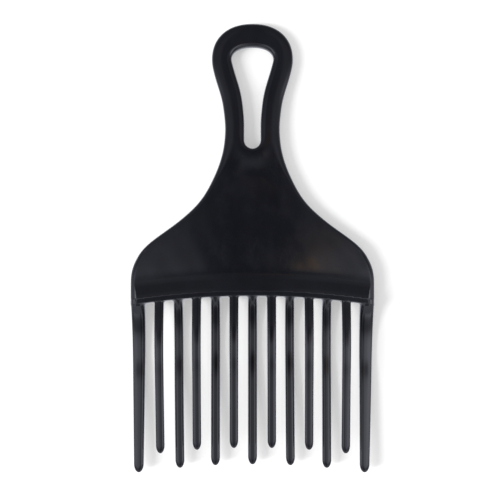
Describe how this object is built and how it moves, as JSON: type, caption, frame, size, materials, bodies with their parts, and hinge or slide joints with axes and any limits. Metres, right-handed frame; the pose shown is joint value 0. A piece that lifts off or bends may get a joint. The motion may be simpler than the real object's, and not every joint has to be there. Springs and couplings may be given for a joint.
{
  "type": "afro pick",
  "caption": "Loop-handled afro pick with bowed, staggered front and back rows of round-tipped teeth, for lifting and shaping thick curly hair.",
  "frame": {"origin": "middle of the bounding box in X and Y, on the surface that the comb lies on", "axes": "+Y from the teeth up the handle, +X to the right as seen from the front with the handle up, +Z out of the front face; the comb lies on the bellies of its back row and on the end of its handle"},
  "size_m": [0.0922, 0.17, 0.0135],
  "materials": {
    "black_plastic": "gloss"
  },
  "bodies": {
    "root": {"handle_arch": "black_plastic", "handle_bar_left": "black_plastic", "handle_bar_right": "black_plastic", "neck": "black_plastic", "palm_plate": "black_plastic", "root_bar": "black_plastic", "outer_tooth_left": "black_plastic", "outer_tooth_right": "black_plastic", "long_tooth_1": "black_plastic", "long_tooth_2": "black_plastic", "long_tooth_3": "black_plastic", "long_tooth_4": "black_plastic", "long_tooth_5": "black_plastic", "short_tooth_1": "black_plastic", "short_tooth_2": "black_plastic", "short_tooth_3": "black_plastic", "short_tooth_4": "black_plastic", "short_tooth_5": "black_plastic", "short_tooth_6": "black_plastic"}
  },
  "joints": []
}
